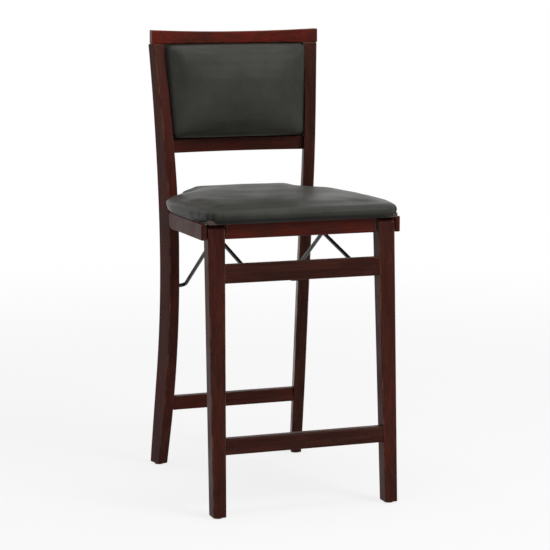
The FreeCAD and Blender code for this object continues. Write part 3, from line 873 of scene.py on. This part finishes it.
@dataclass
class RearFrame:
    """The two posts with the back and the low stretcher between them."""

    shop: Workshop
    wood: LacqueredWood
    body: str = "rear_frame"
    post_rounding: float = 0.0022
    post_shortest: float = 0.004
    rail_rounding: float = 0.0018
    board_rounding: float = 0.0006
    pad_voxel: float = 0.0038
    pad_proud: float = 0.004
    pad_front: float = 0.166
    staple_zone: Zone = (0.180, 0.192)
    panel_foot: float = 0.713
    panel_height: float = 0.197
    panel_half: float = 0.140
    panel_flare: float = 0.012
    post_half: float = 0.1516
    post_toe: float = 0.265
    post_lean: float = 0.018
    post_gauge: tuple[float, float] = (0.170, 0.740)
    spread_zone: Zone = (0.35, 1.0)

    def build(self) -> None:
        """Dresses every wooden piece of the rear frame."""
        upright, across = Grain.UPRIGHT, Grain.ACROSS_WIDTH
        self.shop.dress_timber(
            self.body, self.wood,
            Timber("rear_post_left", upright, 1.0, 0.35, self.post_rounding, self.post_shortest),
            Timber("rear_post_right", upright, 2.0, 0.05, self.post_rounding, self.post_shortest),
            Timber("crest_rail", across, 3.0, 1.0, self.rail_rounding),
            Timber("lower_back_rail", across, 4.0, 0.45, self.rail_rounding),
            Timber("rear_stretcher", across, 5.0, 0.3, self.rail_rounding))
        panel = StainedBoard().material("back_panel", Grain.FRONT_TO_BACK, Grain.ACROSS_WIDTH)
        self.shop.eased_edges("back_panel", self.body, self.board_rounding, panel,
                              shape=self.fill_between_posts)

    def dress(self) -> None:
        """Pads the back and finishes the fittings."""
        pad = Cushion(self.shop, "back_pad", self.body, voxel=self.pad_voxel, held=self.on_panel,
                      crown_axis=Grain.FRONT_TO_BACK, crown=lambda at: at.y < self.pad_front,
                      shape=self.fill_between_posts, proud=self.pad_proud)
        pad.build(Vinyl())
        steel = BlackSteel().material("hinges")
        self.shop.finish_nodes(steel, "hinge_plate_left", "hinge_plate_right", "seat_hinge_pins")
        self.shop.finish_nodes(GlidePlastic().material("rear"), "rear_glides")

    def on_panel(self, at: Vector) -> float:
        """Tells how firmly the back pad is held at a point: fully on the panel, not at all in front.

        Args:
            at: The point.

        Returns:
            A number from 0 to 1.
        """
        return eased(at.y, *self.staple_zone)

    def fill_between_posts(self, form: bmesh.types.BMesh) -> None:
        """Widens a piece of the back until it meets the posts' slanting inner faces.

        Args:
            form: The piece's mesh, changed in place.
        """
        gauge_y, gauge_z = self.post_gauge
        for vertex in form.verts:
            rise = (vertex.co.z - self.panel_foot) / self.panel_height
            half = self.panel_half + self.panel_flare * rise
            slant = self.post_half + self.post_toe * (vertex.co.y - gauge_y)
            post = slant + self.post_lean * (vertex.co.z - gauge_z)
            spread = (post - half) * eased(abs(vertex.co.x) / half, *self.spread_zone)
            vertex.co.x += math.copysign(spread, vertex.co.x)


@dataclass
class Seat:
    """The upholstered board with its aprons, bearers and pivots."""

    shop: Workshop
    wood: LacqueredWood
    body: str = "seat"
    rounding: float = 0.0016
    bearer_rounding: float = 0.0012
    bearer_shortest: float = 0.003
    board_rounding: float = 0.0005
    board_shortest: float = 0.002
    board_inset: float = 0.0045
    board_levels: tuple[float, ...] = (0.03, 0.045, 0.06, 0.075, 0.085, 0.095, 0.102)
    board_lip: float = 0.0026
    board_corner_lip: float = 0.0035
    board_corner_depth: Zone = (0.18, 0.21)
    board_corner_side: Zone = (0.16, 0.185)
    upright_edge: float = 0.1
    ear_front: float = 0.1082
    ear_inside: float = 0.149
    rear_start: float = 0.03
    rear_end: float = 0.109
    rear_length: float = 0.078
    rear_drop: float = 0.0245
    rear_power: float = 1.9
    rear_inside: float = 0.10
    flank_half: float = 0.214
    flank_taper: float = 0.1733
    flank_gauge: float = -0.032
    pad_voxel: float = 0.0044
    pad_top: float = 0.604
    staple_zone: Zone = (0.583, 0.592)
    # Heights over which the painted shade of the tucked underside fades out.
    tuck_shade_zone: Zone = (0.5865, 0.5915)
    notch_depth: Zone = (0.060, 0.105)
    notch_side: Zone = (0.09, 0.125)
    crown_height: float = 0.6150
    crown_foot: float = 0.596
    crown_rise: Zone = (0.5955, 0.599)
    crown_depth: Zone = (-0.03, 0.10)
    crown_half: float = 0.085
    crown_extra: float = 0.05
    crown_narrowing: Zone = (0.03, 0.105)
    crown_roll: float = 0.045
    back_start: float = 0.146
    back_roll: float = 0.017
    post_side: float = 0.129
    post_zone: Zone = (0.085, 0.095)
    post_height: float = 0.6025
    post_slope: float = 0.176
    post_gauge: float = 0.098
    post_ease: float = 0.02
    under_facing: float = -0.9
    under_top: float = 0.5885
    skirt_drop: float = 0.0082
    skirt_front: float = 0.0055
    skirt_front_zone: Zone = (0.10, 0.24)
    skirt_flank: float = 0.0018
    skirt_flank_zone: Zone = (0.15, 0.2)
    pleat_side: float = 0.178
    pleat_front: float = -0.212
    pleat_turns: tuple[float, ...] = (-62.0, -38.0)

    def build(self) -> None:
        """Dresses the aprons, the bearers and the board."""
        lengthways, across = Grain.FRONT_TO_BACK, Grain.ACROSS_WIDTH
        for number, side in enumerate(("left", "right")):
            self.shop.dress_timber(
                self.body, self.wood,
                Timber("side_apron_" + side, lengthways, 7.0 + number, 0.4, self.rounding),
                Timber("seat_bearer_" + side, lengthways, 9.0 + number, 0.3, self.bearer_rounding,
                       self.bearer_shortest))
        self.shop.dress_timber(self.body, self.wood, Timber("front_apron", across, 11.0, 0.7, self.rounding))
        board = StainedBoard().material("seat_board", Grain.UPRIGHT, across)
        self.shop.eased_edges("seat_board", self.body, self.board_rounding, board, self.board_shortest,
                              self.draw_in)

    def dress(self) -> None:
        """Pads the seat and finishes the pivots."""
        # The seat pad's tucked underside and pleat grooves get painted shade.
        pad = Cushion(self.shop, "seat_pad", self.body, voxel=self.pad_voxel, held=self.on_board,
                      crown_axis=Grain.UPRIGHT, crown=lambda at: at.z > self.pad_top,
                      shape=self.wrap_board, mould=self.crown, pleats=self.corner_pleats(),
                      ceiling=self.clear_of_posts, tuck_shade=lambda at: 1 - eased(at.z, *self.tuck_shade_zone))
        pad.build(Vinyl())
        steel = BlackSteel().material("pivots")
        self.shop.finish_nodes(steel, "leg_pivot_bolts", "leg_washers")

    def corner_pleats(self) -> tuple[Pleat, ...]:
        """Gives the folds of both front corners, the left ones mirrored from the right ones.

        Returns:
            The folds.
        """
        folds = []
        for side in Side:
            for turn in self.pleat_turns:
                angle = math.radians(turn)
                folds.append(Pleat(side.value * self.pleat_side, self.pleat_front,
                                   angle if side is Side.RIGHT else math.pi - angle))
        return tuple(folds)

    @staticmethod
    def cut_across(form: bmesh.types.BMesh, level: float) -> None:
        """Cuts all faces where they cross a depth.

        Args:
            form: The mesh, changed in place.
            level: The depth, along y.
        """
        whole = [*form.verts, *form.edges, *form.faces]
        bmesh.ops.bisect_plane(form, geom=whole, plane_co=(0.0, level, 0.0), plane_no=(0.0, 1.0, 0.0))

    def draw_in(self, form: bmesh.types.BMesh) -> None:
        """Draws the board's edge in, to leave room for the vinyl that wraps it.

        Args:
            form: The board's mesh, changed in place.
        """
        self.trim_ears(form)
        for level in self.board_levels:
            self.cut_across(form, level)
        for vertex in form.verts:
            vertex.co = self.round_rear_corner(vertex.co, self.board_inset)
        form.normal_update()
        normals = {vertex: vertex.normal.copy() for vertex in form.verts}
        for vertex, normal in normals.items():
            flat = Vector((normal.x, normal.y, 0.0))
            if flat.length > self.upright_edge:
                corner = eased(-vertex.co.y, *self.board_corner_depth)
                corner *= eased(abs(vertex.co.x), *self.board_corner_side)
                vertex.co -= flat.normalized() * (self.board_lip + self.board_corner_lip * corner)

    def trim_ears(self, form: bmesh.types.BMesh) -> None:
        """Cuts off what reaches back outside the posts, so that the corners end in front of them.

        Args:
            form: The mesh, changed in place.
        """
        self.cut_across(form, self.ear_front)
        ears = []
        for face in form.faces:
            middle = face.calc_center_median()
            if middle.y > self.ear_front and abs(middle.x) > self.ear_inside:
                ears.append(face)
        bmesh.ops.delete(form, geom=ears, context="FACES")
        bmesh.ops.holes_fill(form, edges=[edge for edge in form.edges if edge.is_boundary])

    def round_rear_corner(self, at: Vector, inset: float = 0.0) -> Vector:
        """Draws a point near the seat's rear corners in, to round them in front of the posts.

        Args:
            at: The point.
            inset: How far the piece's edge lies inside the cushion's.

        Returns:
            The point where it belongs.
        """
        if not self.rear_start < at.y <= self.rear_end:
            return at
        edge = self.flank_half - self.flank_taper * (at.y - self.flank_gauge) - inset
        drop = self.rear_drop * min(1.0, (at.y - self.rear_start) / self.rear_length) ** self.rear_power
        pull = drop * eased(abs(at.x), self.rear_inside, edge)
        return Vector((at.x - math.copysign(pull, at.x), at.y, at.z))

    def crown(self, at: Vector) -> Vector:
        """Fills the cushion out to its full height between the posts and rounds its rear corners.

        Args:
            at: A point of the blank.

        Returns:
            The point on the moulded form.
        """
        spot = self.round_rear_corner(at)
        if spot.z < self.crown_foot:
            return spot
        flat = self.crown_half + self.crown_extra * (1 - eased(spot.y, *self.crown_narrowing))
        aside = max(0.0, (abs(spot.x) - flat) / self.crown_roll)
        behind = max(0.0, (spot.y - self.back_start) / self.back_roll)
        share = eased(spot.y, *self.crown_depth) * math.sqrt(max(0.0, 1 - aside * aside))
        share *= math.sqrt(max(0.0, 1 - behind * behind))
        spot.z += max(0.0, self.crown_height - spot.z) * share * eased(spot.z, *self.crown_rise)
        return spot

    def clear_of_posts(self, at: Vector) -> float:
        """Tells how high the cushion may reach at a point, so that it folds past the posts.

        Args:
            at: The point.

        Returns:
            The greatest height, in metres.
        """
        if abs(at.x) < self.post_side or at.y < self.post_zone[0]:
            return math.inf
        height = self.post_height - self.post_slope * (at.y - self.post_gauge)
        return height + self.post_ease * (1 - eased(at.y, *self.post_zone))

    def wrap_board(self, form: bmesh.types.BMesh) -> None:
        """Carries the cushion's underside down round the edge of the board.

        Args:
            form: The cushion's mesh, changed in place.
        """
        self.trim_ears(form)
        form.normal_update()
        under = [face for face in form.faces if face.normal.z < self.under_facing
                 and face.calc_center_median().z < self.under_top]
        skirt = bmesh.ops.extrude_face_region(form, geom=under)
        drop = [part for part in skirt["geom"] if isinstance(part, bmesh.types.BMVert)]
        bmesh.ops.delete(form, geom=under, context="FACES")
        bmesh.ops.translate(form, verts=drop, vec=(0.0, 0.0, -self.skirt_drop))
        for vertex in drop:
            vertex.co.y += self.skirt_front * eased(-vertex.co.y, *self.skirt_front_zone)
            inwards = self.skirt_flank * eased(abs(vertex.co.x), *self.skirt_flank_zone)
            vertex.co.x -= math.copysign(inwards, vertex.co.x)

    def on_board(self, at: Vector) -> float:
        """Tells how firmly the seat pad is held at a point: on the board and beside the posts.

        Args:
            at: The point.

        Returns:
            A number from 0 to 1.
        """
        under = 1 - eased(at.z, *self.staple_zone)
        notch = eased(at.y, *self.notch_depth) * eased(abs(at.x), *self.notch_side)
        return max(under, notch)


@dataclass
class FrontLegs:
    """The tapered front legs with their stretcher and footrest."""

    shop: Workshop
    wood: LacqueredWood
    body: str = "front_legs"
    leg_rounding: float = 0.002
    leg_shortest: float = 0.002
    rail_rounding: float = 0.0016

    def build(self) -> None:
        """Dresses the legs and what joins them."""
        upright, across = Grain.UPRIGHT, Grain.ACROSS_WIDTH
        self.shop.dress_timber(
            self.body, self.wood,
            Timber("front_leg_left", upright, 12.0, 0.22, self.leg_rounding, self.leg_shortest),
            Timber("front_leg_right", upright, 13.0, 0.28, self.leg_rounding, self.leg_shortest),
            Timber("upper_stretcher", across, 14.0, 0.12, self.rail_rounding),
            Timber("footrest", across, 15.0, 0.1, self.rail_rounding))

    def dress(self) -> None:
        """Finishes the glides."""
        self.shop.finish_nodes(GlidePlastic().material("front"), "front_glides")


@dataclass
class Braces:
    """The bent wire links that fold the stool, with the rivet between each pair."""

    shop: Workshop

    def dress(self) -> None:
        """Finishes the wires and rivets."""
        for side in ("left", "right"):
            steel = BlackSteel().material("brace_" + side)
            self.shop.finish_nodes(steel, "rear_link_" + side, "front_link_" + side, "knee_rivet_" + side)


@dataclass(frozen=True)
class Lamp:
    """One soft lamp that faces the stool's middle, with its width and height and its watts."""

    name: str
    place: Point
    size: tuple[float, float]
    power: float
    aim: Point = (0.0, 0.0, 0.5)

    def hang(self) -> None:
        """Adds the lamp to the scene."""
        light = bpy.data.lights.new(self.name, "AREA")
        light.shape = "RECTANGLE"
        light.size, light.size_y = self.size
        light.energy = self.power
        lamp = bpy.data.objects.new(self.name, light)
        lamp.location = self.place
        lamp.rotation_mode = "QUATERNION"
        lamp.rotation_quaternion = (Vector(self.aim) - Vector(self.place)).to_track_quat("-Z", "Y")
        bpy.context.scene.collection.objects.link(lamp)


@dataclass
class Studio:
    """A white room with soft lamps at the right front, at the left and overhead."""

    ambient: float = 0.27
    floor_half: float = 30.0
    floor_tones: tuple[Colour, Colour] = (grey(0.86), grey(0.84))
    floor_glow: float = 0.8
    glow_zone: Zone = (0.5, 3.5)
    lamps: tuple[Lamp, ...] = (Lamp("key", (1.9, -3.2, 2.6), (1.8, 1.8), 84.0),
                               Lamp("fill", (-3.2, -1.2, 1.5), (0.22, 2.2), 6.0),
                               Lamp("overhead", (0.0, -0.4, 3.2), (2.4, 1.8), 44.0))

    def build(self) -> None:
        """Makes the floor, the background and the lamps."""
        self.floor()
        self.background()
        for lamp in self.lamps:
            lamp.hang()

    def floor(self) -> None:
        """Lays the pale floor, which keeps a soft shadow and turns white away from the stool."""
        form = bmesh.new()
        bmesh.ops.create_grid(form, x_segments=1, y_segments=1, size=self.floor_half)
        mesh = bpy.data.meshes.new("studio_floor")
        form.to_mesh(mesh)
        form.free()
        made = Finish("studio_floor")
        pale = made.mix(made.noise(made.place(EVEN), scale=3.0, detail=2.0), *self.floor_tones)
        matt = made.add("BsdfDiffuse", {"Color": pale})
        glow = made.add("Emission", {"Color": WHITE, "Strength": 1.0})
        reach = made.add("VectorMath", {0: made.place(EVEN)}, operation="LENGTH").outputs["Value"]
        factor = made.calc("MULTIPLY", made.seen(), made.span(reach, *self.glow_zone, self.floor_glow, 1.0))
        both = made.add("MixShader", {0: factor, 1: matt.outputs[0], 2: glow.outputs[0]})
        made.add("OutputMaterial", {"Surface": both.outputs[0]})
        mesh.materials.append(made.material)
        floor = bpy.data.objects.new("studio_floor", mesh)
        bpy.context.scene.collection.objects.link(floor)

    def background(self) -> None:
        """Sets a white world that lights the stool less than it shows."""
        world = bpy.data.worlds.new("studio")
        bpy.context.scene.world = world
        made = Shading(world)
        level = made.add("MapRange", {"Value": made.seen(), "To Min": self.ambient, "To Max": 1.0})
        sky = made.add("Background", {"Color": WHITE, "Strength": level.outputs[0]})
        made.add("OutputWorld", {"Surface": sky.outputs[0]})


@dataclass(frozen=True)
class Viewpoint:
    """Where the camera stands and how it looks."""

    place: Point = (-1.4448, -3.9449, 1.0744)
    tilt: float = 81.69
    turn: float = -19.81
    lens: float = 134.36
    sensor: float = 36.0
    shift: tuple[float, float] = (0.0397, -0.0185)

    def build(self) -> None:
        """Makes the camera and the plain view settings."""
        data = bpy.data.cameras.new("viewpoint")
        data.sensor_width = self.sensor
        data.lens = self.lens
        data.shift_x, data.shift_y = self.shift
        camera = bpy.data.objects.new("viewpoint", data)
        camera.location = self.place
        camera.rotation_euler = (math.radians(self.tilt), 0.0, math.radians(self.turn))
        bpy.context.scene.collection.objects.link(camera)
        bpy.context.scene.camera = camera
        bpy.context.scene.view_settings.view_transform = "Standard"


def main() -> None:
    """Builds the stool's pieces, then the room and the camera."""
    logging.basicConfig(level=logging.INFO, format="%(name)s: %(message)s")
    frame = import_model()
    shop = Workshop(frame)
    wood = LacqueredWood()
    Viewpoint().build()
    for group in (RearFrame(shop, wood), Seat(shop, wood), FrontLegs(shop, wood)):
        group.build()
        group.dress()
    Braces(shop).dress()
    Studio().build()


if __name__ == "__main__":
    main()
